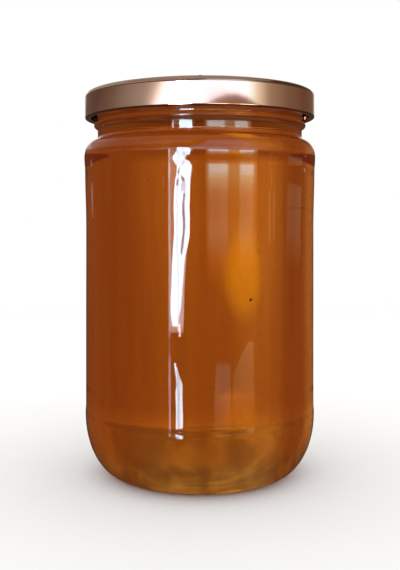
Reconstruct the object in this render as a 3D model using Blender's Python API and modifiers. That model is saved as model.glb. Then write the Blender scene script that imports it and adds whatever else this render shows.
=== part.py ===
"""Honey jar: a clear glass jar full of honey, shut with a pressed metal twist-off lid.

Metres, +Z up. The origin is the middle of the ring that the jar stands on.
All three pieces are turned shapes. Each outline is a list of (radius, height) points that runs
down the outer side of its piece, and a Screw modifier turns it round the Z axis.
"""

import math

import bpy

MM = 0.001

# Finish of the turning
SEGMENTS = 56
MERGE = 0.00001
GAP = 0.3 * MM

# Glass, outside
PANEL_RADIUS = 41.85 * MM
PANEL_TOP_RADIUS = 42.15 * MM
PANEL_LOW = 25.4 * MM
PANEL_TAPER_LOW = 90.0 * MM
PANEL_HIGH = 111.2 * MM
HEEL_RADIUS = 42.0 * MM
HEEL_HEIGHT = 22.0 * MM
SHOULDER_RADIUS = 42.5 * MM
SHOULDER_HEIGHT = 115.0 * MM
NECK_RADIUS = 37.6 * MM
NECK_LOW = 121.4 * MM
NECK_FILLET = 0.8 * MM
RING_RADIUS = 39.0 * MM
RING_LOW = 125.8 * MM
RING_HIGH = 128.0 * MM
FINISH_RADIUS = 37.9 * MM
RIM_HEIGHT = 138.3 * MM

# Glass, foot
FOOT_OUTER = 29.0 * MM
FOOT_INNER = 27.2 * MM
PUSH_UP_EDGE = 0.7 * MM
PUSH_UP = 2.2 * MM

# Glass, inside
WALL = 2.7 * MM
MOUTH_RADIUS = NECK_RADIUS - WALL
FLOOR = 4.6 * MM
FLOOR_CROWN = 0.9 * MM
FLOOR_RADIUS = 25.0 * MM
CAVITY_HEEL_HEIGHT = 24.0 * MM
CAVITY_SHOULDER_LOW = 114.0 * MM
CAVITY_SHOULDER_HIGH = 122.2 * MM

# Honey, which ends out of sight behind the skirt of the lid
HONEY_TOP = 131.5 * MM

# Lid
LID_RADIUS = 42.2 * MM
LID_LOW = 129.4 * MM
LID_CORNER_TOP = 139.2 * MM
LID_CORNER_WIDTH = 3.0 * MM
LID_CORNER_DROP = 2.0 * MM
LID_CREST_HEIGHT = 139.9 * MM
LID_CREST_RADIUS = 35.6 * MM
LID_CREST_HALF_WIDTH = 2.0 * MM
LID_PANEL_RADIUS = 31.5 * MM
LID_PANEL_DROP = 1.2 * MM
LID_BUTTON_RADIUS = 13.0 * MM
LID_BUTTON_RISE = 0.35 * MM
LID_SHEET = 0.5 * MM
CURL_HALF_WIDTH = 1.1 * MM
CURL_HALF_HEIGHT = 0.65 * MM
SKIRT_INSIDE_LOW = 131.8 * MM


def arc(centre, radii, start, stop, steps):
    """Points of an elliptical arc, angles in degrees from the outward radius, both ends included."""
    points = []
    for i in range(steps + 1):
        angle = math.radians(start + (stop - start) * i / steps)
        radius = centre[0] + radii[0] * math.cos(angle)
        height = centre[1] + radii[1] * math.sin(angle)
        points.append((radius, height))
    return points


def ease(start, stop, steps):
    """Points of a smooth S-bend whose ends run straight up, both ends included."""
    points = []
    for i in range(steps + 1):
        part = i / steps
        blend = 0.5 - 0.5 * math.cos(math.pi * part)
        radius = start[0] + (stop[0] - start[0]) * blend
        height = start[1] + (stop[1] - start[1]) * part
        points.append((radius, height))
    return points


def glass_outside():
    """Outer side of the glass, from its rim down to the middle of the push-up."""
    rim_radius = (FINISH_RADIUS - MOUTH_RADIUS) / 2
    rim_centre = (MOUTH_RADIUS + rim_radius, RIM_HEIGHT - rim_radius)
    ring_half = (RING_HIGH - RING_LOW) / 2
    ring_round = RING_RADIUS - NECK_RADIUS
    ring_centre = (RING_RADIUS - ring_round, (RING_HIGH + RING_LOW) / 2)
    shoulder_centre = (NECK_RADIUS, SHOULDER_HEIGHT)
    shoulder = (SHOULDER_RADIUS - NECK_RADIUS, NECK_LOW - SHOULDER_HEIGHT)
    heel_centre = (FOOT_OUTER, HEEL_HEIGHT)
    heel = (HEEL_RADIUS - FOOT_OUTER, HEEL_HEIGHT)

    outline = arc(rim_centre, (rim_radius, rim_radius), 180, 0, 6)
    outline.append((FINISH_RADIUS, RING_HIGH + ring_half / 2))
    outline += arc(ring_centre, (ring_round, ring_half), 75, -90, 5)
    outline.append((NECK_RADIUS, NECK_LOW + NECK_FILLET))
    outline += arc(shoulder_centre, shoulder, 76, 0, 6)
    outline.append((PANEL_TOP_RADIUS, PANEL_HIGH))
    outline.append((PANEL_RADIUS, PANEL_TAPER_LOW))
    outline.append((PANEL_RADIUS, PANEL_LOW))
    outline += arc(heel_centre, heel, 0, -90, 9)
    outline.append((FOOT_INNER, 0.0))
    outline.append((FOOT_INNER - PUSH_UP_EDGE, PUSH_UP_EDGE))
    outline.append((FOOT_INNER / 2, PUSH_UP - PUSH_UP_EDGE / 2))
    outline.append((0.0, PUSH_UP))
    return outline


def cavity(inset, top):
    """Inside of the glass, from the middle of its floor up to the height top, drawn in by inset."""
    body = PANEL_RADIUS - WALL - inset
    mouth = MOUTH_RADIUS - inset
    floor = FLOOR + inset
    heel_centre = (FLOOR_RADIUS, CAVITY_HEEL_HEIGHT)
    heel = (body - FLOOR_RADIUS, CAVITY_HEEL_HEIGHT - floor)

    outline = [(0.0, floor + FLOOR_CROWN)]
    outline.append((FLOOR_RADIUS / 2, floor + FLOOR_CROWN * 0.75))
    outline += arc(heel_centre, heel, -90, 0, 7)
    outline += ease((body, CAVITY_SHOULDER_LOW), (mouth, CAVITY_SHOULDER_HIGH), 6)
    outline.append((mouth, top))
    return outline


def glass_outline():
    """Whole section of the glass: up its inside, over the rim and down its outside."""
    rim_radius = (FINISH_RADIUS - MOUTH_RADIUS) / 2
    inside = cavity(0.0, RIM_HEIGHT - rim_radius)
    return inside[:-1] + glass_outside()


def honey_outline():
    """Section of the honey, from the middle of its top down to the middle of its floor."""
    return [(0.0, HONEY_TOP)] + cavity(GAP, HONEY_TOP)[::-1]


def lid_outline():
    """Section of the lid: over its top, down the skirt, round the curled edge and back inside."""
    crest_low = LID_CREST_RADIUS - LID_CREST_HALF_WIDTH
    panel_height = LID_CREST_HEIGHT - LID_PANEL_DROP
    corner_centre = (LID_RADIUS - LID_CORNER_WIDTH, LID_CORNER_TOP - LID_CORNER_DROP)
    corner = (LID_CORNER_WIDTH, LID_CORNER_DROP)
    inner_corner = (LID_CORNER_WIDTH - LID_SHEET, LID_CORNER_DROP - LID_SHEET)
    curl_centre = (LID_RADIUS - CURL_HALF_WIDTH, LID_LOW + CURL_HALF_HEIGHT)
    curl = (CURL_HALF_WIDTH, CURL_HALF_HEIGHT)

    outline = [(0.0, panel_height + LID_BUTTON_RISE)]
    outline.append((LID_BUTTON_RADIUS * 0.6, panel_height + LID_BUTTON_RISE * 0.7))
    outline.append((LID_BUTTON_RADIUS, panel_height))
    outline.append((LID_PANEL_RADIUS, panel_height))
    outline.append((crest_low, LID_CREST_HEIGHT - LID_BUTTON_RISE))
    outline.append((LID_CREST_RADIUS, LID_CREST_HEIGHT))
    outline += arc(corner_centre, corner, 80, 0, 5)
    outline += arc(curl_centre, curl, 0, -210, 8)
    outline.append((LID_RADIUS - LID_SHEET, SKIRT_INSIDE_LOW))
    outline += arc(corner_centre, inner_corner, 0, 80, 4)
    outline.append((LID_CREST_RADIUS, LID_CREST_HEIGHT - LID_SHEET))
    outline.append((crest_low, LID_CREST_HEIGHT - LID_BUTTON_RISE - LID_SHEET))
    outline.append((LID_PANEL_RADIUS - LID_SHEET, panel_height - LID_SHEET))
    outline.append((LID_BUTTON_RADIUS, panel_height - LID_SHEET))
    outline.append((0.0, panel_height + LID_BUTTON_RISE - LID_SHEET))
    return outline


def make_material(name, colour, roughness, metallic=0.0, transmission=0.0, ior=1.5):
    """A Principled material from a few plain values."""
    material = bpy.data.materials.new(name)
    material.use_nodes = True
    shader = material.node_tree.nodes["Principled BSDF"]
    shader.inputs["Base Color"].default_value = (*colour, 1.0)
    shader.inputs["Roughness"].default_value = roughness
    shader.inputs["Metallic"].default_value = metallic
    shader.inputs["Transmission Weight"].default_value = transmission
    shader.inputs["IOR"].default_value = ior
    material.diffuse_color = (*colour, 1.0)
    return material


def make_turned(name, outline, material, collection):
    """Turns an outline of (radius, height) points round the Z axis into one smooth closed piece."""
    mesh = bpy.data.meshes.new(name)
    vertices = [(radius, 0.0, height) for radius, height in outline]
    edges = [(i, i + 1) for i in range(len(outline) - 1)]
    mesh.from_pydata(vertices, edges, [])
    piece = bpy.data.objects.new(name, mesh)
    collection.objects.link(piece)

    screw = piece.modifiers.new("Turn", 'SCREW')
    screw.axis = 'Z'
    screw.steps = SEGMENTS
    screw.render_steps = SEGMENTS
    screw.use_merge_vertices = True
    screw.merge_threshold = MERGE
    screw.use_smooth_shade = True
    mesh.materials.append(material)
    return piece


def clear_scene():
    """Removes what the start-up scene holds."""
    for thing in list(bpy.data.objects):
        bpy.data.objects.remove(thing)


def main():
    """Builds the jar, its honey and its lid."""
    clear_scene()
    collection = bpy.data.collections.new("honey_jar")
    bpy.context.scene.collection.children.link(collection)

    glass = make_material("clear_glass", (0.95, 0.97, 0.96), 0.03, transmission=1.0, ior=1.52)
    amber = make_material("honey", (0.48, 0.17, 0.02), 0.05, ior=1.49)
    copper = make_material("copper_lacquer", (0.55, 0.36, 0.27), 0.28, metallic=1.0)

    make_turned("jar", glass_outline(), glass, collection)
    make_turned("honey", honey_outline(), amber, collection)
    make_turned("lid", lid_outline(), copper, collection)


main()
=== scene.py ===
"""Honey jar: the looks of a clear glass jar of amber honey under a copper-coloured twist-off lid.

Metres, +Z up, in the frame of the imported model. The glass, the honey and the lid are turned again
here with finer outlines, and specks and bubbles hang in the honey.
"""

import logging
import math
import random
from dataclasses import dataclass
from enum import Enum
from typing import Callable, Iterable, Sequence

import bmesh
import bpy
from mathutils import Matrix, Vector, noise


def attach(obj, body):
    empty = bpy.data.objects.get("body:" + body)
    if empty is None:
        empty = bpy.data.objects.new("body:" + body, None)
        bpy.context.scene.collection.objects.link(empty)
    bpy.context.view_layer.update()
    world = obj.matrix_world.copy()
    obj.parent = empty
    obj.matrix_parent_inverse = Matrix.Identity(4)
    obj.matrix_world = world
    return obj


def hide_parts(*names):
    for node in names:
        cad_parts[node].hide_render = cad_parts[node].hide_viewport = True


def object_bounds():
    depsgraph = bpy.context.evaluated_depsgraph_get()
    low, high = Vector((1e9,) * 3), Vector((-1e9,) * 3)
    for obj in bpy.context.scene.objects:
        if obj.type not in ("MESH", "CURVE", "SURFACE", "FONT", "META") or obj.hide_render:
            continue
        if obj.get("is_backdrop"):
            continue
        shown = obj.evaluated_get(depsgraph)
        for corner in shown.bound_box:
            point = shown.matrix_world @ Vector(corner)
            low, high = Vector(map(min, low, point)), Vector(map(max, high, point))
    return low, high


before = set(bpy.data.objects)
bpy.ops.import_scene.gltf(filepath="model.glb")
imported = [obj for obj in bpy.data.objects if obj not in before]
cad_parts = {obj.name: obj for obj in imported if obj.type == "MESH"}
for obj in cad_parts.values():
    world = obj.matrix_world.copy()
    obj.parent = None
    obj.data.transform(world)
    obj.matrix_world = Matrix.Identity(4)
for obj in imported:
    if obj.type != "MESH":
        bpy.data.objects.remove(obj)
CAD_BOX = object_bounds()

LOG = logging.getLogger("honey_jar")
MM = 0.001
SKIRT_VIEW = 0.277  # height at a metre's distance that the middle of the lid's skirt mirrors

Point = tuple[float, float]
Colour = tuple[float, float, float]
Place = tuple[float, float, float]
Stops = tuple[tuple[float, Colour], ...]


# Shader wiring


class Flow:
    """A node socket that can stand in Python sums, products and powers."""

    def __init__(self, recipe: "Recipe", socket: bpy.types.NodeSocket) -> None:
        """Wraps a socket.

        Args:
            recipe: The material recipe that the socket's node belongs to.
            socket: The output socket.
        """
        self.recipe = recipe
        self.socket = socket

    def math(self, operation: str, *values: "Flow | float") -> "Flow":
        """Adds a Math node.

        Args:
            operation: The Math node's operation.
            values: Its inputs, in order.

        Returns:
            The node's value.
        """
        inputs = dict(enumerate(values))
        return self.recipe.add("ShaderNodeMath", {"operation": operation}, inputs)

    def __add__(self, other: "Flow | float") -> "Flow":
        """This value plus another."""
        return self.math('ADD', self, other)

    def __radd__(self, other: float) -> "Flow":
        """A number plus this value."""
        return self.math('ADD', other, self)

    def __sub__(self, other: "Flow | float") -> "Flow":
        """This value less another."""
        return self.math('SUBTRACT', self, other)

    def __rsub__(self, other: float) -> "Flow":
        """A number less this value."""
        return self.math('SUBTRACT', other, self)

    def __mul__(self, other: "Flow | float") -> "Flow":
        """This value times another."""
        return self.math('MULTIPLY', self, other)

    def __truediv__(self, other: "Flow | float") -> "Flow":
        """This value divided by another."""
        return self.math('DIVIDE', self, other)

    def __pow__(self, other: "Flow | float") -> "Flow":
        """This value raised to a power."""
        return self.math('POWER', self, other)

    def over(self, low: float, high: float) -> "Flow":
        """How far this value has gone from low to high, smoothly, kept between 0 and 1.

        Args:
            low: The value that gives 0.
            high: The value that gives 1, which may be the smaller of the two.

        Returns:
            The share.
        """
        settings = {"interpolation_type": 'SMOOTHSTEP'}
        inputs = {"Value": self, "From Min": low, "From Max": high}
        return self.recipe.add("ShaderNodeMapRange", settings, inputs)


class Recipe:
    """Builds the nodes of one material, or of the world."""

    def __init__(self, owner: bpy.types.Material | bpy.types.World) -> None:
        """Empties the owner's node tree.

        Args:
            owner: The material or world to fill.
        """
        owner.use_nodes = True
        self.owner = owner
        self.tree = owner.node_tree
        self.tree.nodes.clear()

    def add(self, kind: str, settings: dict | None = None, inputs: dict | None = None,
            output: int | str = 0) -> Flow:
        """Adds a node, sets it up and wires it.

        Args:
            kind: The node's type name.
            settings: The node's own settings, set first. The key stops fills a colour ramp.
            inputs: Values or links for its sockets, by name or number.
            output: The socket to give back, by name or number.

        Returns:
            The chosen output.
        """
        node = self.tree.nodes.new(kind)
        for key, value in (settings or {}).items():
            if key == "stops":
                self.fill_ramp(node.color_ramp, value)
            else:
                setattr(node, key, value)
        for key, value in (inputs or {}).items():
            socket = node.inputs[key]
            if isinstance(value, Flow):
                self.tree.links.new(value.socket, socket)
            elif isinstance(value, tuple) and len(value) == 3 and socket.type == 'RGBA':
                socket.default_value = (*value, 1.0)
            else:
                socket.default_value = value
        return Flow(self, node.outputs[output])

    def scale(self, value: Flow, stops: Stops) -> Flow:
        """Colours by where a value lies among stops.

        Args:
            value: The value.
            stops: Value and colour of each stop, in rising order.

        Returns:
            The colour.
        """
        low = stops[0][0]
        span = stops[-1][0] - low
        placed = tuple(((at - low) / span, tone) for at, tone in stops)
        return self.add("ShaderNodeValToRGB", {"stops": placed}, {0: (value - low) / span})

    @staticmethod
    def fill_ramp(ramp: bpy.types.ColorRamp, stops: Stops) -> None:
        """Sets a ramp's stops.

        Args:
            ramp: The ramp of a Color Ramp node.
            stops: Position and colour of each stop, in order.
        """
        while len(ramp.elements) < len(stops):
            ramp.elements.new(0.5)
        for element, (position, colour) in zip(ramp.elements, stops):
            element.position = position
            element.color = (*colour, 1.0)

    def place(self, stretch: Place = (1.0, 1.0, 1.0)) -> Flow:
        """Object coordinates, stretched.

        Args:
            stretch: What each axis is multiplied by.

        Returns:
            The coordinates.
        """
        spot = self.add("ShaderNodeTexCoord", output="Object")
        return self.add("ShaderNodeVectorMath", {"operation": 'MULTIPLY'}, {0: spot, 1: stretch})

    def parts(self, vector: Flow, axes: str) -> tuple[Flow, ...]:
        """The parts of a vector.

        Args:
            vector: The vector.
            axes: The letters of the wanted axes, such as XZ.

        Returns:
            One value for each letter.
        """
        return tuple(self.add("ShaderNodeSeparateXYZ", {}, {0: vector}, output=axis) for axis in axes)

    def grain(self, scale: float, detail: float = 2.0, stretch: Place = (1.0, 1.0, 1.0)) -> Flow:
        """Soft noise over the piece.

        Args:
            scale: Noise scale, in repeats a metre.
            detail: Octaves.
            stretch: What each axis is multiplied by first.

        Returns:
            The noise, mostly between 0.3 and 0.7.
        """
        inputs = {"Vector": self.place(stretch), "Scale": scale, "Detail": detail}
        return self.add("ShaderNodeTexNoise", {}, inputs)

    def blend(self, share: Flow | float, first: Colour | Flow, second: Colour | Flow) -> Flow:
        """Mixes two colours.

        Args:
            share: How much of the second.
            first: The colour at share 0.
            second: The colour at share 1.

        Returns:
            The mixed colour.
        """
        settings = {"data_type": 'RGBA'}
        inputs = {0: share, 6: first, 7: second}
        return self.add("ShaderNodeMix", settings, inputs, output=2)

    def tint(self, colour: Flow, factor: Colour) -> Flow:
        """Multiplies a colour by another.

        Args:
            colour: The colour.
            factor: What it is multiplied by.

        Returns:
            The product.
        """
        settings = {"data_type": 'RGBA', "blend_type": 'MULTIPLY'}
        return self.add("ShaderNodeMix", settings, {0: 1.0, 6: colour, 7: factor}, output=2)

    def bump(self, height: Flow, distance: float) -> Flow:
        """A bumped normal.

        Args:
            height: The height, 0 to 1.
            distance: How deep a height of 1 is, in metres.

        Returns:
            The normal.
        """
        return self.add("ShaderNodeBump", {}, {"Height": height, "Distance": distance})

    def surface(self, inputs: dict) -> Flow:
        """Adds the Principled shader and makes it the surface.

        Args:
            inputs: Values or links for its sockets.

        Returns:
            The shader.
        """
        shader = self.add("ShaderNodeBsdfPrincipled", {}, inputs)
        self.finish(shader)
        return shader

    def finish(self, shader: Flow, volume: Flow | None = None) -> None:
        """Wires the output.

        Args:
            shader: The surface.
            volume: What fills the piece, if anything.
        """
        in_world = isinstance(self.owner, bpy.types.World)
        kind = "ShaderNodeOutputWorld" if in_world else "ShaderNodeOutputMaterial"
        sockets = {"Surface": shader}
        if volume:
            sockets["Volume"] = volume
        node = self.tree.nodes.new(kind)
        for key, value in sockets.items():
            self.tree.links.new(value.socket, node.inputs[key])


# Finishes


@dataclass(frozen=True)
class GlassFinish:
    """Clear flint glass, with the faint waves that moulding leaves."""

    tint: Colour = (0.985, 0.99, 0.985)
    tint_thick: Colour = (0.965, 0.975, 0.965)
    wave_depth: float = 0.05 * MM
    index: float = 1.5

    def material(self) -> bpy.types.Material:
        """Makes the material."""
        recipe = Recipe(bpy.data.materials.new("clear_glass"))
        clouds = recipe.grain(60.0, detail=1.0)
        waves = recipe.grain(90.0, detail=1.5, stretch=(1.0, 1.0, 0.18))
        film = recipe.grain(220.0, detail=4.0)
        recipe.surface({
            "Base Color": recipe.blend(clouds, self.tint, self.tint_thick),
            "Roughness": film.over(0.55, 0.8) * 0.03,
            "IOR": self.index,
            "Transmission Weight": 1.0,
            "Normal": recipe.bump(waves, self.wave_depth),
        })
        return recipe.owner

    def wetted(self) -> bpy.types.Material:
        """Makes the inside that honey wets, where light goes straight on as glass and honey bend it alike."""
        recipe = Recipe(bpy.data.materials.new("wetted_glass"))
        recipe.surface({
            "Base Color": recipe.blend(recipe.grain(60.0, detail=1.0), self.tint, self.tint_thick),
            "Roughness": 0.0,
            "IOR": 1.0,
            "Transmission Weight": 1.0,
        })
        return recipe.owner


@dataclass(frozen=True)
class HoneyFinish:
    """Clear runny honey: the deeper the light goes, the redder it gets. A faint painted glow in it stands in for
    light scattered in the honey.

    Its index is the one against the glass round it, which has nearly the same, and not against air.
    """

    depth_colour: Colour = (0.814, 0.611, 0.091)
    density: float = 70.0
    index: float = 1.0
    # Painted glow: an even red emission standing in for light scattered in the honey.
    scatter_glow: Colour = (1.0, 0.20, 0.025)
    scatter_glow_strength: float = 0.055

    def material(self) -> bpy.types.Material:
        """Makes the material."""
        recipe = Recipe(bpy.data.materials.new("honey"))
        swirl = recipe.grain(35.0, detail=2.0, stretch=(1.0, 1.0, 0.25))
        shader = recipe.add("ShaderNodeBsdfPrincipled", {}, {
            "Base Color": recipe.blend(swirl, (1.0, 0.985, 0.96), (0.97, 0.94, 0.90)),
            "Roughness": 0.0,
            "IOR": self.index,
            "Transmission Weight": 1.0,
            # Painted glow over the whole honey surface.
            "Emission Color": (*self.scatter_glow, 1.0),
            "Emission Strength": self.scatter_glow_strength,
        })
        depth = recipe.add("ShaderNodeVolumeAbsorption", {}, {
            "Color": self.depth_colour,
            "Density": self.density,
        })
        recipe.finish(shader, depth)
        return recipe.owner

    def skin(self) -> bpy.types.Material:
        """Makes the top face of the honey: a dull dark sheet of painted shade where the lid keeps light out, with
        faint painted glow in patches.
        """
        recipe = Recipe(bpy.data.materials.new("honey_top_shade_and_glow"))
        recipe.surface({
            # Painted shade: dark base colour for the shade under the lid.
            "Base Color": recipe.blend(recipe.grain(300.0, detail=3.0),
                                       (0.17, 0.058, 0.013), (0.24, 0.10, 0.03)),
            "Roughness": 0.5,
            # Painted glow in soft patches on the top face.
            "Emission Color": recipe.blend(recipe.grain(60.0, detail=1.0).over(0.4, 0.6),
                                           (0.01, 0.004, 0.002), (0.06, 0.025, 0.016)),
            "Emission Strength": 1.0,
        })
        return recipe.owner


@dataclass(frozen=True)
class CopperFinish:
    """Copper-coloured lacquer on pressed tinplate, lightly clouded by handling."""

    metal: Colour = (0.68, 0.43, 0.32)
    clouded: Colour = (0.61, 0.41, 0.32)
    rough_low: float = 0.035
    rough_high: float = 0.06

    def material(self) -> bpy.types.Material:
        """Makes the material."""
        recipe = Recipe(bpy.data.materials.new("copper_lacquer"))
        smudge = recipe.grain(55.0, detail=3.0).over(0.4, 0.65)
        brushed = recipe.grain(900.0, detail=2.0, stretch=(1.0, 1.0, 0.15))
        fine = recipe.grain(2600.0, detail=1.0)
        recipe.surface({
            "Base Color": recipe.blend(smudge, self.metal, self.clouded),
            "Metallic": 1.0,
            "Roughness": self.rough_low + smudge * (self.rough_high - self.rough_low) + brushed * 0.015,
            "Coat Weight": 0.35,
            "Coat Roughness": 0.06,
            "Normal": recipe.bump(fine, 0.0008 * MM),
        })
        return recipe.owner


@dataclass(frozen=True)
class SpeckFinish:
    """Dark flecks of wax and pollen."""

    dark: Colour = (0.035, 0.012, 0.004)
    pale: Colour = (0.16, 0.07, 0.02)

    def material(self) -> bpy.types.Material:
        """Makes the material."""
        recipe = Recipe(bpy.data.materials.new("specks"))
        recipe.surface({
            "Base Color": recipe.blend(recipe.grain(1500.0), self.dark, self.pale),
            "Roughness": 0.6,
        })
        return recipe.owner


@dataclass(frozen=True)
class BubbleFinish:
    """Air bubbles, which shine where the light catches them."""

    index: float = 1.4

    def material(self) -> bpy.types.Material:
        """Makes the material."""
        recipe = Recipe(bpy.data.materials.new("bubbles"))
        recipe.surface({
            "Base Color": recipe.blend(recipe.grain(800.0), (1.0, 1.0, 1.0), (0.95, 0.93, 0.88)),
            "Roughness": 0.0,
            "IOR": self.index,
            "Transmission Weight": 1.0,
        })
        return recipe.owner


# Shapes


def arc(centre: Point, radii: Point, start: float, stop: float, steps: int) -> list[Point]:
    """Points of an elliptical arc.

    Args:
        centre: Radius and height of its centre.
        radii: Its half width and half height.
        start: First angle, in degrees from the outward radius.
        stop: Last angle.
        steps: How many steps to take.

    Returns:
        The points, both ends included.
    """
    points = []
    for i in range(steps + 1):
        angle = math.radians(start + (stop - start) * i / steps)
        points.append((centre[0] + radii[0] * math.cos(angle), centre[1] + radii[1] * math.sin(angle)))
    return points


def ease(start: Point, stop: Point, steps: int) -> list[Point]:
    """Points of a smooth S-bend whose ends run straight up.

    Args:
        start: First point.
        stop: Last point.
        steps: How many steps to take.

    Returns:
        The points, both ends included.
    """
    points = []
    for i in range(steps + 1):
        part = i / steps
        blend = 0.5 - 0.5 * math.cos(math.pi * part)
        points.append((start[0] + (stop[0] - start[0]) * blend, start[1] + (stop[1] - start[1]) * part))
    return points


def refine(outline: Sequence[Point], longest: float) -> list[Point]:
    """Splits an outline's long runs.

    Args:
        outline: The points.
        longest: The longest run that may stay, in metres.

    Returns:
        The outline with points added on its long runs.
    """
    points = [outline[0]]
    for before, after in zip(outline, outline[1:]):
        parts = max(1, math.ceil(math.dist(before, after) / longest))
        for i in range(1, parts + 1):
            share = i / parts
            points.append(tuple(start + (end - start) * share for start, end in zip(before, after)))
    return points


def turn(name: str, runs: Sequence[tuple[Sequence[Point], bpy.types.Material]], segments: int,
         shape: Callable[[Vector], Vector] | None = None) -> bpy.types.Object:
    """Turns outlines that meet end to end round the Z axis into one smooth closed piece.

    Args:
        name: The piece's name.
        runs: Each outline, as radius and height of its points, and its finish.
        segments: Sides round the axis.
        shape: Moves each vertex, if the piece isn't perfectly round.

    Returns:
        The piece.
    """
    bm = bmesh.new()
    for slot, (outline, _) in enumerate(runs):
        ring = [bm.verts.new((radius, 0.0, height)) for radius, height in outline]
        edges = [bm.edges.new(pair) for pair in zip(ring, ring[1:])]
        known = set(bm.faces)
        bmesh.ops.spin(bm, geom=ring + edges, cent=(0, 0, 0), axis=(0, 0, 1), angle=math.tau,
                       steps=segments, use_merge=True)
        for face in set(bm.faces) - known:
            face.material_index = slot
    bmesh.ops.remove_doubles(bm, verts=bm.verts, dist=0.002 * MM)
    bmesh.ops.recalc_face_normals(bm, faces=bm.faces)
    if shape:
        for vertex in bm.verts:
            vertex.co = shape(vertex.co)
    return finished(name, bm, *(material for _, material in runs))


def finished(name: str, bm: bmesh.types.BMesh, *materials: bpy.types.Material) -> bpy.types.Object:
    """Makes a smooth object of a built mesh.

    Args:
        name: The piece's name.
        bm: The mesh, which is freed.
        materials: Its finishes, in the order of its faces' material numbers.

    Returns:
        The piece, linked to the scene.
    """
    mesh = bpy.data.meshes.new(name)
    bm.to_mesh(mesh)
    bm.free()
    mesh.shade_smooth()
    for material in materials:
        mesh.materials.append(material)
    piece = bpy.data.objects.new(name, mesh)
    bpy.context.scene.collection.objects.link(piece)
    return piece


# The jar, its honey and its lid


@dataclass
class GlassJar:
    """The glass, open at its mouth."""

    panel_radius: float = 41.85 * MM
    panel_top_radius: float = 42.22 * MM
    panel_low: float = 25.4 * MM
    panel_taper_low: float = 90.0 * MM
    panel_high: float = 109.8 * MM
    crease_height: float = 3.2 * MM
    heel_radius: float = 42.0 * MM
    heel_height: float = 22.0 * MM
    shoulder_radius: float = 42.5 * MM
    shoulder_height: float = 115.0 * MM
    neck_radius: float = 37.6 * MM
    neck_low: float = 121.4 * MM
    neck_fillet: float = 0.8 * MM
    neck_taper: float = 0.02 * MM
    ring_radius: float = 39.0 * MM
    ring_low: float = 125.6 * MM
    ring_high: float = 128.0 * MM
    finish_radius: float = 37.9 * MM
    rim_height: float = 138.3 * MM
    foot_outer: float = 29.0 * MM
    foot_inner: float = 27.2 * MM
    push_up: float = 2.2 * MM
    push_up_fillet: float = 0.7 * MM
    wall: float = 2.7 * MM
    floor: float = 4.6 * MM
    floor_crown: float = 0.9 * MM
    floor_radius: float = 25.0 * MM
    cavity_heel_height: float = 24.0 * MM
    cavity_shoulder_low: float = 114.0 * MM
    cavity_shoulder_high: float = 122.2 * MM
    segments: int = 240
    wave: float = 0.05 * MM

    @property
    def mouth_radius(self) -> float:
        """Radius of the bore."""
        return self.neck_radius - self.wall

    def outside(self) -> list[Point]:
        """Outer side, from the rim down to the middle of the push-up."""
        rim = (self.finish_radius - self.mouth_radius) / 2
        bead = (self.ring_radius - self.neck_radius, (self.ring_high - self.ring_low) / 2)
        heel = (self.heel_radius - self.foot_outer, self.heel_height)
        shoulder = (self.shoulder_radius - self.neck_radius, self.neck_low - self.shoulder_height)
        fillet = self.push_up_fillet

        outline = arc((self.mouth_radius + rim, self.rim_height - rim), (rim, rim), 180, 0, 12)
        outline.append((self.finish_radius, self.ring_high + 0.4 * MM))
        outline += arc((self.neck_radius, self.ring_low + bead[1]), bead, 78, -84, 12)
        outline += ease((self.neck_radius + self.neck_taper, self.ring_low - 0.2 * MM),
                        (self.neck_radius - self.neck_taper, self.neck_low + 1.2 * MM), 6)
        outline.append((self.neck_radius, self.neck_low + self.neck_fillet * 0.5))
        outline += arc((self.neck_radius, self.shoulder_height), shoulder, 80, 0, 18)
        outline += ease((self.shoulder_radius, self.shoulder_height),
                        (self.panel_top_radius, self.panel_high), 14)[1:]
        outline += ease((self.panel_top_radius, self.panel_high),
                        (self.panel_radius, self.panel_taper_low), 8)[1:]
        outline += ease((self.panel_radius, self.panel_low),
                        (self.heel_radius, self.panel_low - self.crease_height), 8)
        outline += arc((self.foot_outer, self.heel_height), heel, 0, -90, 28)
        outline.append((self.foot_inner, 0.0))
        outline += arc((self.foot_inner - fillet, 0.0), (fillet, fillet), 30, 90, 4)
        outline += ease((self.foot_inner - 2 * fillet, fillet), (0.0, self.push_up), 10)
        return outline

    def inside(self, inset: float, top: float) -> list[Point]:
        """Inner side, from the middle of the floor up.

        Args:
            inset: How far to draw it in; a negative value reaches into the glass.
            top: Height where it ends.

        Returns:
            The outline.
        """
        body = self.panel_radius - self.wall - inset
        mouth = self.mouth_radius - inset
        floor = self.floor + inset
        heel = (body - self.floor_radius, self.cavity_heel_height - floor)

        outline = [(self.floor_radius * i / 8, floor + self.floor_crown * math.cos(math.pi / 2 * i / 8) ** 2)
                   for i in range(8)]
        outline += arc((self.floor_radius, self.cavity_heel_height), heel, -90, 0, 20)
        outline += ease((body, self.cavity_shoulder_low), (mouth, self.cavity_shoulder_high), 14)
        outline.append((mouth, top))
        return outline

    def shape(self, place: Vector) -> Vector:
        """Adds the slow waves of moulded glass.

        Args:
            place: A vertex of the turned shape.

        Returns:
            Where it goes.
        """
        radius = math.hypot(place.x, place.y)
        if radius < self.foot_inner or not self.ring_low > place.z > 1.0 * MM:
            return place
        probe = Vector((place.x * 90.0, place.y * 90.0, place.z * 22.0))
        push = 1.0 + self.wave * noise.noise(probe) / radius
        return Vector((place.x * push, place.y * push, place.z))

    def build(self, honey_edge: float) -> bpy.types.Object:
        """Makes the glass.

        Args:
            honey_edge: Height up to which honey wets the inside.

        Returns:
            The glass.
        """
        finish = GlassFinish()
        wet = refine(self.inside(0.0, honey_edge), 2.5 * MM)
        dry = refine([wet[-1]] + self.outside(), 2.5 * MM)
        stretches = ((dry, finish.material()), (wet, finish.wetted()))
        return turn("glass_shell", stretches, self.segments, self.shape)


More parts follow.
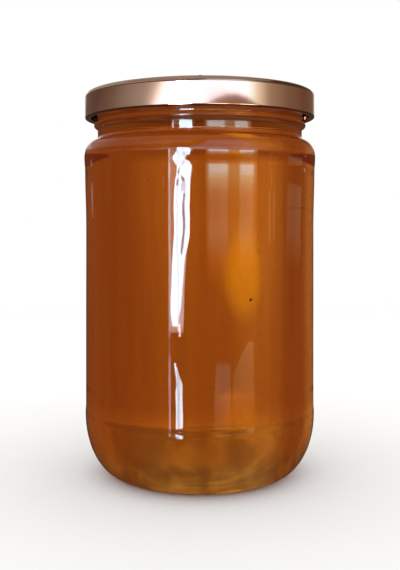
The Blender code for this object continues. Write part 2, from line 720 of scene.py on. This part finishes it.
@dataclass
class HoneyFill:
    """The honey, which reaches just into the glass so that no air shows between them."""

    jar: GlassJar
    reach: float = 0.35 * MM
    top: float = 130.0 * MM
    meniscus: float = 0.3 * MM
    segments: int = 200

    @property
    def edge_height(self) -> float:
        """Height to which the honey climbs at the glass."""
        return self.top + self.meniscus

    def build(self) -> bpy.types.Object:
        """Makes the honey, with a top face of painted shade and faint painted glow."""
        finish = HoneyFinish()
        side = self.jar.inside(-self.reach, self.edge_height)[::-1]
        edge = side[0][0]
        # The top face, which carries the painted shade and painted glow.
        film = [(0.0, self.top)] + ease((edge - 2.5 * MM, self.top), (edge, self.edge_height), 5)
        runs = ((refine(film, 3.0 * MM), finish.skin()), (refine(side, 3.0 * MM), finish.material()))
        return turn("honey_fill", runs, self.segments)


@dataclass
class TwistLid:
    """The pressed lid, with a raised rim, a rounded corner and a curled edge."""

    radius: float = 42.2 * MM
    low: float = 129.1 * MM
    corner_top: float = 139.2 * MM
    corner_width: float = 3.0 * MM
    corner_drop: float = 2.0 * MM
    crest_height: float = 139.9 * MM
    crest_radius: float = 35.6 * MM
    crest_half_width: float = 2.0 * MM
    panel_radius: float = 31.5 * MM
    panel_drop: float = 1.2 * MM
    button_radius: float = 13.0 * MM
    button_rise: float = 0.35 * MM
    sheet: float = 0.4 * MM
    bend: float = 0.08 * MM
    curl_half_width: float = 1.1 * MM
    curl_half_height: float = 0.65 * MM
    tilt: float = -0.3
    segments: int = 240

    def outline(self) -> list[Point]:
        """Over its top, down the skirt, round the curl and back inside."""
        crest_low = self.crest_radius - self.crest_half_width
        panel = self.crest_height - self.panel_drop
        corner_centre = (self.radius - self.corner_width, self.corner_top - self.corner_drop)
        corner = (self.corner_width, self.corner_drop)
        inner_corner = (self.corner_width - self.sheet, self.corner_drop - self.sheet)
        curl_centre = (self.radius - self.curl_half_width, self.low + self.curl_half_height)
        curl = (self.curl_half_width, self.curl_half_height)
        inner_curl = (self.curl_half_width - self.sheet, self.curl_half_height - self.sheet)

        top = [(0.0, panel + self.button_rise)]
        top += ease((self.button_radius * 0.4, panel + self.button_rise), (self.button_radius, panel), 8)
        top.append((self.panel_radius - 1.0 * MM, panel))
        top += ease((self.panel_radius, panel), (crest_low, self.crest_height - 0.2 * MM), 6)
        top.append((self.crest_radius, self.crest_height))
        top.append((self.crest_radius + 1.8 * MM, self.crest_height - 0.2 * MM))

        under = [(radius, height - self.sheet) for radius, height in top]
        outline = top + arc(corner_centre, corner, 82, 0, 16)
        outline.append((self.radius, corner_centre[1] - self.bend))
        outline.append((self.radius, curl_centre[1] + self.bend))
        outline += arc(curl_centre, curl, 0, -290, 26)
        outline += arc(curl_centre, inner_curl, -290, 0, 20)
        outline += arc(corner_centre, inner_corner, 0, 82, 8)
        return outline + under[::-1]

    def build(self) -> bpy.types.Object:
        """Makes the lid, screwed on a touch out of level as in the photo."""
        lean = math.radians(self.tilt)
        middle = self.low

        def shape(place: Vector) -> Vector:
            """Leans the lid about its own edge."""
            drop = place.x * math.sin(lean)
            return Vector((place.x + (place.z - middle) * math.sin(lean), place.y, place.z - drop))

        runs = ((refine(self.outline(), 2.5 * MM), CopperFinish().material()),)
        return turn("lid_shell", runs, self.segments, shape)


# What hangs in the honey


@dataclass
class Inclusions:
    """Specks of wax and pollen, and small air bubbles."""

    jar: GlassJar
    speck_count: int = 34
    bubble_count: int = 70
    seed: int = 11
    heights: tuple[float, float] = (24.0 * MM, 122.0 * MM)
    height_share: float = 0.94

    def inside(self, angle: float, depth: float, height: float) -> Vector:
        """A place in the honey.

        Args:
            angle: Round the axis, in degrees; 0 faces the camera.
            depth: How far in from the glass.
            height: Above the table.

        Returns:
            The place.
        """
        radius = self.jar.panel_radius - self.jar.wall - depth
        turned = math.radians(angle)
        return Vector((radius * math.sin(turned), -radius * math.cos(turned), height))

    def scatter(self, count: int, draw: random.Random) -> Iterable[Vector]:
        """Random places in the honey.

        Args:
            count: How many.
            draw: Where the random numbers come from.

        Returns:
            The places, one at a time.
        """
        for _ in range(count):
            depth = 2.0 * MM + 30.0 * MM * draw.random() ** 1.5
            yield self.inside(draw.uniform(0, 360), depth, draw.uniform(*self.heights) * self.height_share)

    def cluster(self, name: str, places: Sequence[tuple[Vector, float]], material: bpy.types.Material,
                uneven: float, draw: random.Random) -> bpy.types.Object:
        """Joins small lumps into one piece.

        Args:
            name: The piece's name.
            places: Centre and radius of each lump.
            material: Their finish.
            uneven: How far from round each is, as a share.
            draw: Where the random numbers come from.

        Returns:
            The piece.
        """
        bm = bmesh.new()
        for centre, size in places:
            made = bmesh.ops.create_icosphere(bm, subdivisions=2, radius=size)
            for vertex in made["verts"]:
                swell = 1.0 + uneven * draw.uniform(-1.0, 1.0)
                vertex.co = centre + vertex.co * swell
        return finished(name, bm, material)

    def build(self) -> list[bpy.types.Object]:
        """Makes the specks and the bubbles."""
        draw = random.Random(self.seed)
        seen = [((25.2, 66.0), 0.55), ((30.0, 54.0), 0.22), ((48.0, 104.0), 0.25), ((70.0, 83.0), 0.2),
                ((27.0, 40.0), 0.2), ((22.0, 94.0), 0.15)]
        specks = [(self.inside(angle, 1.2 * MM, height * MM), size * MM) for (angle, height), size in seen]
        for place in self.scatter(self.speck_count, draw):
            specks.append((place, draw.uniform(0.08, 0.24) * MM))
        bubbles = []
        for place in self.scatter(self.bubble_count, draw):
            bubbles.append((place, draw.uniform(0.08, 0.25) * MM))
        return [
            self.cluster("specks", specks, SpeckFinish().material(), 0.25, draw),
            self.cluster("bubbles", bubbles, BubbleFinish().material(), 0.0, draw),
        ]


# The studio


class Sight(Enum):
    """Which rays may see a studio piece."""

    EYE = "camera and shadow"
    SHINE = "reflections only"
    THROUGH = "what shows through the honey only"


def limit_sight(thing: bpy.types.Object, sight: Sight) -> None:
    """Sets which rays see a thing.

    Args:
        thing: The studio piece or light.
        sight: Which rays.
    """
    thing.visible_camera = sight is Sight.EYE
    thing.visible_diffuse = sight is Sight.EYE
    thing.visible_shadow = sight is Sight.EYE
    thing.visible_volume_scatter = False
    thing.visible_glossy = sight is Sight.SHINE
    thing.visible_transmission = sight is Sight.THROUGH


@dataclass(frozen=True)
class Card:
    """A lit panel on a drum round the jar: rows of height, left edge and right edge, in metres and degrees.

    Its colour is plain, or goes by height (up) or round the drum (round). Beside its panes it may go by
    height in another way (beside). What goes round it may lean on the left, in degrees a metre, and it may
    dim higher up (dim, between dim_heights). A mound, given by its middle, half width, foot and rise, may
    stand before it, and a spot, given by its middle, half width, height and half height, may bound it.
    """

    name: str
    rows: tuple[tuple[float, float, float], ...]
    strength: float = 1.0
    colour: Colour = (1.0, 1.0, 1.0)
    sight: Sight = Sight.SHINE
    drum: float = 1.0
    soft: float = 0.0
    smear: float = 0.0
    smear_colour: Colour = (0.30, 0.54, 0.68)
    up: Stops = ()
    beside: Stops = ()
    panes: tuple[tuple[float, float], ...] = ()
    round: Stops = ()
    lean: float = 0.0
    lean_turn: float = 20.0
    dim: float = 0.0
    dim_heights: tuple[float, float] = (0.33, 0.42)
    mound: tuple[float, float, float, float] | None = None
    mound_colour: Colour = (0.33, 0.21, 0.16)
    mound_edge: tuple[float, float] = (-0.002, 0.0025)
    spot: tuple[float, float, float, float] | None = None

    def light(self, recipe: Recipe) -> Flow:
        """Makes the emission, which may change with height and round the drum.

        Args:
            recipe: The panel's recipe.

        Returns:
            The shader.
        """
        x, y, height = recipe.parts(recipe.place(), "XYZ")
        angle = x.math('ARCTAN2', x, y * -1.0) * math.degrees(1.0)
        strength: Flow | float = self.strength
        colour: Flow | Colour = self.colour
        if self.up:
            colour = recipe.scale(height, self.up)
        if self.round:
            slant = (height - SKIRT_VIEW) * self.lean * angle.over(self.lean_turn, -self.lean_turn)
            colour = recipe.scale(angle - slant, self.round)
            strength = 1.0 - height.over(*self.dim_heights) * self.dim
        if self.beside:
            shares = []
            for left, right in self.panes:
                entered = angle.over(left - self.soft, left + self.soft)
                shares.append(entered * angle.over(right + self.soft, right - self.soft))
            colour = recipe.blend(sum(shares[1:], shares[0]), recipe.scale(height, self.beside), colour)
        if self.soft:
            left, right = self.rows[0][1:]
            edge = 2.0 * self.soft
            strength = angle.over(left, left + edge) * angle.over(right, right - edge) * strength
        if self.smear:
            smear = recipe.grain(13.0, detail=2.0, stretch=(1.0, 1.0, 0.22)).over(0.48, 0.66)
            colour = recipe.blend(smear * self.smear, colour, self.smear_colour)
        if self.mound:
            middle, half_width, foot, rise = self.mound
            hill = 1.0 - ((angle - middle) / half_width) ** 2.0
            top = hill.math('MAXIMUM', hill, 0.0) * rise + foot
            colour = recipe.blend((height - top).over(*self.mound_edge), self.mound_colour, colour)
        glow = recipe.add("ShaderNodeEmission", {}, {"Color": colour, "Strength": strength})
        if not self.spot:
            return glow
        middle, half_width, centre, half_height = self.spot
        away = ((angle - middle) / half_width) ** 2.0 + ((height - centre) / half_height) ** 2.0
        clear = recipe.add("ShaderNodeBsdfTransparent")
        return recipe.add("ShaderNodeMixShader", {}, {0: away.over(1.0, 0.0), 1: clear, 2: glow})

    def build(self) -> bpy.types.Object:
        """Makes the panel."""
        recipe = Recipe(bpy.data.materials.new(self.name))
        recipe.finish(self.light(recipe))
        return drum_panel(self.name, self.rows, self.drum, recipe.owner, self.sight)


def drum_panel(name: str, rows: Sequence[tuple[float, float, float]], radius: float,
               material: bpy.types.Material, sight: Sight) -> bpy.types.Object:
    """Makes a curved studio panel.

    Args:
        name: Its name.
        rows: Height, left edge and right edge of each row, in metres and degrees; 0 faces the camera.
        radius: How far it stands from the jar's axis.
        material: Its finish.
        sight: Which rays see it.

    Returns:
        The panel.
    """
    bm = bmesh.new()
    steps = max(1, math.ceil(max(right - left for _, left, right in rows) / 10.0))
    nets = []
    for height, left, right in rows:
        turns = [math.radians(left + (right - left) * i / steps) for i in range(steps + 1)]
        places = [(radius * math.sin(turn), -radius * math.cos(turn), height) for turn in turns]
        nets.append([bm.verts.new(place) for place in places])
    for lower, upper in zip(nets, nets[1:]):
        for i in range(steps):
            bm.faces.new((lower[i], lower[i + 1], upper[i + 1], upper[i]))
    piece = finished(name, bm, material)
    limit_sight(piece, sight)
    piece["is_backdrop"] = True
    return piece


@dataclass(frozen=True)
class HeelShade:
    """A ring close round the heel that paints the table's shade over what shows through it, in lighter and darker
    patches, with painted light left of the middle and painted shade on the right.
    """

    radius: float = 46.0 * MM
    shades: Stops = (
        (0.0, (0.28, 0.85, 0.95)), (1.8 * MM, (0.26, 0.72, 0.9)), (3.5 * MM, (0.18, 0.30, 0.38)),
        (5.8 * MM, (0.31, 0.39, 0.45)), (9.0 * MM, (0.70, 0.77, 0.80)), (13.0 * MM, (0.94, 0.97, 0.95)),
        (20.0 * MM, (1.0, 1.0, 1.0)))
    across: Stops = (
        (-46.0 * MM, (0.95, 0.95, 0.95)), (-27.0 * MM, (1.1, 1.1, 1.1)), (-18.0 * MM, (1.45, 1.5, 1.4)),
        (0.0, (1.2, 1.2, 1.3)), (14.0 * MM, (1.15, 1.2, 1.3)), (25.0 * MM, (0.83, 0.83, 0.8)),
        (46.0 * MM, (0.85, 0.85, 0.8)))

    def build(self) -> bpy.types.Object:
        """Makes the ring."""
        recipe = Recipe(bpy.data.materials.new("heel_shade"))
        side, height = recipe.parts(recipe.place(), "XZ")
        # Painted light left of the middle and painted shade on the right, across the ring.
        sway = recipe.scale(side, self.across)
        shade = recipe.scale(height, self.shades)
        patches = recipe.grain(150.0, detail=2.0, stretch=(1.0, 1.0, 2.5)).over(0.38, 0.66)
        patched = recipe.blend(patches, recipe.tint(shade, (0.62, 0.66, 0.8)),
                               recipe.tint(shade, (1.5, 1.5, 1.2)))
        shade = recipe.blend(height.over(15.0 * MM, 6.0 * MM), shade, patched)
        shade = recipe.blend(height.over(20.0 * MM, 12.5 * MM), shade, recipe.tint(shade, sway))
        recipe.finish(recipe.add("ShaderNodeBsdfTransparent", {}, {"Color": shade}))
        rows = ((-2.0 * MM, -180.0, 180.0), (self.shades[-1][0], -180.0, 180.0))
        return drum_panel("heel_shade", rows, self.radius, recipe.owner, Sight.THROUGH)


@dataclass
class Studio:
    """A pale floor that fades into the background, the lights and the camera."""

    eye_distance: float = 313.9 * MM
    eye_height: float = 92.1 * MM
    focal_pixels: float = 845.0
    frame_size: tuple[int, int] = (400, 570)
    axis_pixel: float = 199.8
    horizon_pixel: float = 220.5
    floor_radius: float = 0.7
    floor_fade: tuple[float, float] = (0.62, 0.25)
    background: Colour = (1.0, 1.0, 1.0)
    floor_light: Colour = (1.16, 1.16, 1.16)
    dull_room: Colour = (0.42, 0.20, 0.15)
    pale_room: Colour = (1.2, 0.95, 1.2)
    soft_lights: tuple[tuple[float, float, float, float], ...] = (
        (-1.0, 0.3, 1.0, 1.0), (-0.3, 0.3, 0.85, 0.5), (0.1, 0.4, 0.55, 0.3), (1.0, 0.3, 0.15, 0.05))

    def camera(self) -> bpy.types.Object:
        """Places the camera level, as far and as high as the photo shows."""
        data = bpy.data.cameras.new("camera")
        long_side = max(self.frame_size)
        data.lens = data.sensor_width * self.focal_pixels / long_side
        data.shift_x = (self.frame_size[0] / 2 - self.axis_pixel) / long_side
        data.shift_y = (self.horizon_pixel - self.frame_size[1] / 2) / long_side
        camera = bpy.data.objects.new("camera", data)
        camera.location = (0.0, -self.eye_distance, self.eye_height)
        camera.rotation_euler = (math.pi / 2, 0.0, 0.0)
        bpy.context.scene.collection.objects.link(camera)
        bpy.context.scene.camera = camera
        return camera

    def floor(self) -> bpy.types.Object:
        """Makes the floor, a pale disc whose rim fades out."""
        recipe = Recipe(bpy.data.materials.new("pale_floor"))
        place = recipe.place()
        spread = recipe.add("ShaderNodeVectorMath", {"operation": 'LENGTH'}, {0: place}, output="Value")
        tone = recipe.grain(14.0, detail=3.0)
        pale = recipe.add("ShaderNodeBsdfDiffuse", {}, {
            "Color": recipe.blend(tone, (0.90, 0.90, 0.895), (0.93, 0.93, 0.925)),
        })
        clear = recipe.add("ShaderNodeBsdfTransparent")
        shown = spread.over(*self.floor_fade)
        recipe.finish(recipe.add("ShaderNodeMixShader", {}, {0: shown, 1: clear, 2: pale}))
        bm = bmesh.new()
        bmesh.ops.create_circle(bm, cap_ends=True, segments=96, radius=self.floor_radius)
        piece = finished("floor", bm, recipe.owner)
        limit_sight(piece, Sight.EYE)
        piece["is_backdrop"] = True
        return piece

    def room(self, recipe: Recipe, way: Flow, across: Flow, up: Flow) -> Flow:
        """What shows through the honey: a dull warm room with a few soft lights, weaker below.

        Each soft light has its place and reach across, and its strength above and below.

        Args:
            recipe: The world's recipe.
            way: The direction looked in.
            across: Its X part.
            up: Its Z part.

        Returns:
            The colour.
        """
        above = up.over(-0.17, 0.03)
        light = 0.0
        for place, reach, strong, weak in self.soft_lights:
            near = across.over(place - reach, place) * across.over(place + reach, place)
            light = light + near * (above * (strong - weak) + weak)
        room = recipe.blend(light, self.dull_room, self.pale_room)
        bands = recipe.add("ShaderNodeVectorMath", {"operation": 'MULTIPLY'}, {0: way, 1: (1.0, 1.0, 0.3)})
        bands = recipe.add("ShaderNodeTexNoise", {}, {"Vector": bands, "Scale": 14.0, "Detail": 2.0})
        room = recipe.blend(bands.over(0.38, 0.62), recipe.tint(room, (0.95, 0.92, 0.95)),
                            recipe.tint(room, (1.05, 1.08, 1.05)))
        patches = recipe.add("ShaderNodeTexNoise", {}, {"Vector": way, "Scale": 5.0, "Detail": 2.0})
        patched = recipe.blend(patches.over(0.40, 0.62), recipe.tint(room, (0.40, 0.58, 0.85)),
                               recipe.tint(room, (0.80, 1.18, 1.5)))
        room = recipe.blend(up.over(0.12, 0.34), room, patched)
        room = recipe.blend(up.over(0.35, 0.65), room, recipe.tint(room, (0.86, 0.97, 1.15)))
        room = recipe.blend(up.over(-0.42, -0.25), (0.49, 0.26, 0.29), room)
        return recipe.blend(up.over(-0.85, -0.55), (0.26, 0.13, 0.13), room)

    def world(self) -> None:
        """Lights the room: white to the eye and the floor, dim to the glass, warm through the honey."""
        world = bpy.data.worlds.new("studio")
        bpy.context.scene.world = world
        recipe = Recipe(world)
        way = recipe.add("ShaderNodeTexCoord", output="Generated")
        across, up = recipe.parts(way, "XZ")
        shine = recipe.scale(up, (
            (-0.4, (0.05, 0.03, 0.02)), (0.6, (0.085, 0.06, 0.045)), (0.8, (0.32, 0.29, 0.26)),
            (1.0, (0.46, 0.43, 0.40))))
        colour = self.background
        for ray, seen in (("Is Diffuse Ray", self.floor_light), ("Is Glossy Ray", shine),
                          ("Is Transmission Ray", self.room(recipe, way, across, up))):
            colour = recipe.blend(recipe.add("ShaderNodeLightPath", output=ray), colour, seen)
        recipe.finish(recipe.add("ShaderNodeBackground", {}, {"Color": colour, "Strength": 1.0}))

    @staticmethod
    def window_cards() -> list[Card]:
        """The window left of the camera, broken by branches, and the sheen beside it."""
        window = Card("window_card", (
            (-0.06, -25.5, -21.0), (-0.03, -27.5, -17.0), (0.0, -26.5, -15.5), (0.04, -25.5, -13.0),
            (0.07, -24.0, -9.0), (0.12, -22.5, -9.0), (0.15, -21.5, -7.5), (0.16, -21.5, -7.5),
            (0.17, -21.5, -11.0), (0.18, -21.5, -8.5), (0.24, -21.5, -6.5), (0.36, -21.5, -15.0)),
            26.0, (0.75, 1.0, 1.12), smear=0.9, drum=0.965)
        twigs = (
            ("twig_card", (1.5, 5.0, 7.0), (
                (0.135, -20.5, -19.0), (0.145, -20.5, -18.5), (0.155, -20.0, -19.0))),
            ("bent_twig_card", (0.3, 3.0, 5.0), (
                (0.11, -15.5, -14.0), (0.12, -17.0, -14.0), (0.13, -17.5, -16.0))),
            ("short_twig_card", (0.3, 3.0, 5.0), (
                (0.10, -21.5, -20.0), (0.11, -21.5, -19.5), (0.12, -21.0, -19.0))),
            ("long_twig_card", (0.5, 4.0, 6.0), (
                (0.045, -17.5, -16.0), (0.06, -17.0, -14.5), (0.08, -15.0, -13.0))))
        return [window] + [Card(name, rows, colour=colour, drum=0.95) for name, colour, rows in twigs] + [
            Card("cloud_card", ((0.085, -17.0, -12.5), (0.10, -17.5, -13.0), (0.11, -16.5, -13.5)),
                 colour=(8.7, 14.0, 18.0), drum=0.955),
            Card("branch_card", ((-0.08, -19.0, -17.5), (-0.06, -21.0, -17.5)), 18.0),
            Card("lower_window_card", (
                (-0.26, -21.5, -16.5), (-0.205, -22.5, -15.5), (-0.16, -23.0, -16.5), (-0.147, -21.5, -16.0),
                (-0.135, -22.5, -19.0), (-0.118, -24.0, -22.5)), 19.0, (0.75, 1.0, 1.15), smear=0.9),
            Card("sill_card", ((-0.222, -27.0, -9.0), (-0.216, -27.5, -9.5)), 14.0),
            Card("jamb_card", ((-0.22, -29.5, -27.4), (0.244, -29.5, -27.4)), up=(
                (-0.22, (4.0, 4.0, 4.2)), (-0.12, (4.0, 4.0, 4.2)), (-0.10, (0.8, 0.8, 0.9)),
                (-0.085, (0.8, 0.8, 0.9)), (-0.06, (6.0, 6.0, 6.2)), (0.12, (6.5, 6.5, 6.6)),
                (0.14, (9.0, 9.0, 9.0)), (0.25, (10.0, 10.0, 10.0)))),
            Card("sheen_card", (
                (-0.075, -28.2, -15.0), (0.0, -28.2, -13.5), (0.14, -28.2, -7.0), (0.15, -28.2, -5.9),
                (0.20, -28.2, -5.9)), drum=1.01, up=(
                (-0.075, (4.0, 3.0, 2.8)), (-0.06, (8.0, 7.0, 6.6)), (0.01, (7.0, 6.0, 5.6)),
                (0.05, (3.6, 2.5, 2.0)), (0.17, (4.0, 2.8, 2.0)), (0.20, (2.6, 1.8, 1.3)))),
        ]

    @staticmethod
    def pane_cards() -> list[Card]:
        """The paler panes right of the camera, which fade downwards, and faint streaks round the sides."""
        clear = (0.0, 0.0, 0.0)
        return [
            Card("pane_card", ((-0.005, 4.4, 57.0), (0.244, 4.4, 57.0)), soft=1.4,
                 panes=((8.1, 26.0), (37.5, 52.0)), up=(
                (-0.005, clear), (0.034, (1.5, 0.5, 0.1)), (0.078, (2.8, 1.7, 0.9)), (0.121, (4.9, 4.4, 2.5)),
                (0.150, (6.6, 8.0, 7.2)), (0.171, (6.6, 8.4, 8.4)), (0.21, (6.6, 8.0, 8.0)),
                (0.220, (5.8, 4.4, 3.4)), (0.235, (5.4, 3.4, 2.2)), (0.239, (1.2, 0.8, 0.5))), beside=(
                (-0.005, clear), (0.034, (1.4, 0.3, 0.0)), (0.078, (2.6, 1.0, 0.2)), (0.121, (2.9, 2.0, 0.7)),
                (0.171, (2.8, 2.6, 1.2)), (0.215, (2.4, 2.2, 1.2)), (0.225, (5.0, 3.6, 2.2)),
                (0.235, (5.0, 3.3, 1.9)), (0.239, (0.8, 0.5, 0.3)))),
            Card("neck_card", ((0.219, -7.5, 5.6), (0.236, -7.5, 5.6)), soft=0.5, colour=(4.8, 3.6, 2.4)),
            Card("side_pane_card", ((0.015, 90.0, 119.0), (0.124, 90.0, 119.0)), soft=2.0, up=(
                (0.015, clear), (0.050, (0.24, 0.26, 0.13)), (0.077, (0.32, 0.40, 0.27)),
                (0.118, (0.32, 0.43, 0.29)), (0.124, (0.15, 0.2, 0.12)))),
            Card("low_pane_card", ((-0.215, 12.0, 30.5), (-0.115, 15.5, 30.5)), soft=1.0, up=(
                (-0.215, clear), (-0.17, (0.7, 0.8, 0.6)), (-0.125, (0.5, 0.9, 0.65)),
                (-0.115, (0.2, 0.2, 0.2)))),
            Card("low_far_pane_card", ((-0.205, 30.5, 53.0), (-0.14, 30.5, 53.0), (-0.11, 38.0, 53.0),
                                       (-0.085, 46.0, 53.0)), soft=1.0, up=(
                (-0.205, clear), (-0.16, (0.5, 0.6, 0.35)), (-0.12, (0.7, 0.85, 0.5)),
                (-0.085, (1.6, 1.2, 0.6)))),
            Card("thin_card", ((0.113, 70.6, 72.6), (0.157, 70.6, 72.6)), soft=0.5, up=(
                (0.113, (2.8, 1.2, 0.7)), (0.157, (1.6, 0.8, 0.4)))),
            Card("smear_card", ((0.058, 68.5, 71.0), (0.104, 67.0, 69.5)), soft=0.7, colour=(2.2, 1.2, 0.8)),
            Card("far_smear_card", ((0.066, 73.5, 76.5), (0.098, 74.0, 77.0)), soft=0.8,
                 colour=(1.5, 0.8, 0.5)),
            Card("left_smear_card", ((0.098, -36.5, -33.0), (0.134, -36.5, -33.0)), soft=1.0,
                 colour=(1.2, 1.2, 0.6)),
            Card("right_thin_card", ((0.157, 120.5, 125.5), (0.175, 120.5, 125.5)), soft=1.2,
                 colour=(1.8, 0.9, 0.7)),
            Card("left_thin_card", ((0.088, -136.0, -127.0), (0.137, -136.0, -127.0)), soft=2.0, up=(
                (0.088, (0.25, 0.25, 0.25)), (0.11, (0.5, 0.56, 0.58)), (0.137, (0.3, 0.3, 0.3)))),
        ]

    @staticmethod
    def far_cards() -> list[Card]:
        """The sky that the lid mirrors, over a dark mound, and the glow behind the honey."""
        white = (2.1, 2.42, 3.1)
        return [
            Card("sky_card", (
                (0.244, -179.8, 179.8), (1.3, -179.8, 179.8)), drum=0.97, lean=280.0, dim=0.6, round=(
                (-180.0, (1.1, 1.0, 0.9)), (-168.0, (0.9, 0.8, 0.7)), (-148.0, (0.17, 0.12, 0.10)),
                (-114.0, (0.15, 0.096, 0.078)), (-90.0, (0.24, 0.18, 0.14)),
                (-64.0, (0.45, 0.40, 0.36)), (-55.5, (0.50, 0.47, 0.44)), (-49.0, (0.60, 0.57, 0.54)),
                (-45.0, (0.80, 0.78, 0.76)), (-41.0, (1.10, 1.12, 1.12)), (-37.0, (1.8, 1.95, 2.1)),
                (-33.0, white), (45.0, white), (50.0, (1.5, 2.0, 2.1)), (56.0, (1.22, 1.26, 1.15)),
                (61.5, (0.87, 0.86, 0.75)), (67.0, (0.58, 0.51, 0.42)), (72.0, (0.46, 0.38, 0.29)),
                (92.0, (0.28, 0.195, 0.13)), (121.0, (0.19, 0.105, 0.06)), (150.0, (0.19, 0.13, 0.10)),
                (168.0, (0.9, 0.8, 0.7)), (180.0, (1.1, 1.0, 0.9))),
                mound=(32.0, 34.0, 0.246, 0.0285)),
            Card("glow_card", ((0.038, -179.5, -170.5), (0.096, -179.5, -170.5)), colour=(1.53, 1.40, 0.62),
                 sight=Sight.THROUGH, drum=0.12, spot=(-174.7, 3.6, 0.067, 0.027)),
            Card("neck_glow_card", ((0.1288, -180.0, 180.0), (0.1335, -180.0, 180.0)),
                 colour=(0.20, 0.115, 0.13), sight=Sight.THROUGH, drum=0.0394),
            Card("low_glow_card", ((-0.012, -179.5, -171.0), (0.014, -179.5, -171.0)),
                 colour=(1.10, 0.80, 0.45), sight=Sight.THROUGH, drum=0.12,
                 spot=(-175.3, 3.8, 0.001, 0.0125)),
        ]

    def cards(self) -> list[bpy.types.Object]:
        """Makes every lit panel."""
        return [card.build() for card in self.window_cards() + self.pane_cards() + self.far_cards()]

    def build(self) -> None:
        """Sets up the studio."""
        self.camera()
        self.floor()
        self.world()
        self.cards()
        HeelShade().build()
        scene = bpy.context.scene
        scene.view_settings.view_transform = 'Standard'
        scene.cycles.max_bounces = 24
        scene.cycles.transmission_bounces = 24
        scene.cycles.glossy_bounces = 8
        scene.cycles.transparent_max_bounces = 8


def dress(piece: bpy.types.Object, slot: str, node: str | None = None) -> None:
    """Fixes a piece to the jar and reports it.

    Args:
        piece: The piece.
        slot: The record's material slot that it belongs to.
        node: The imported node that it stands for, if any.
    """
    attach(piece, "root")
    if node:
        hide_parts(node)
    LOG.info("%s: %d faces, slot %s, stands for %s", piece.name, len(piece.data.polygons), slot, node)


def write_sizes() -> None:
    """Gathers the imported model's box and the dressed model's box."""
    boxes = {name: [list(corner) for corner in box] for name, box in (("cad", CAD_BOX), ("visual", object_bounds()))}


def main() -> None:
    """Builds the studio, the jar, the honey, what hangs in it and the lid."""
    logging.basicConfig(level=logging.INFO, format="%(message)s")
    Studio().build()
    jar = GlassJar()
    honey = HoneyFill(jar)
    dress(jar.build(honey.edge_height), "clear_glass", "jar")
    dress(honey.build(), "honey", "honey")
    dress(TwistLid().build(), "copper_lacquer", "lid")
    for piece in Inclusions(jar).build():
        dress(piece, "honey")
    write_sizes()


if __name__ == "__main__":
    main()
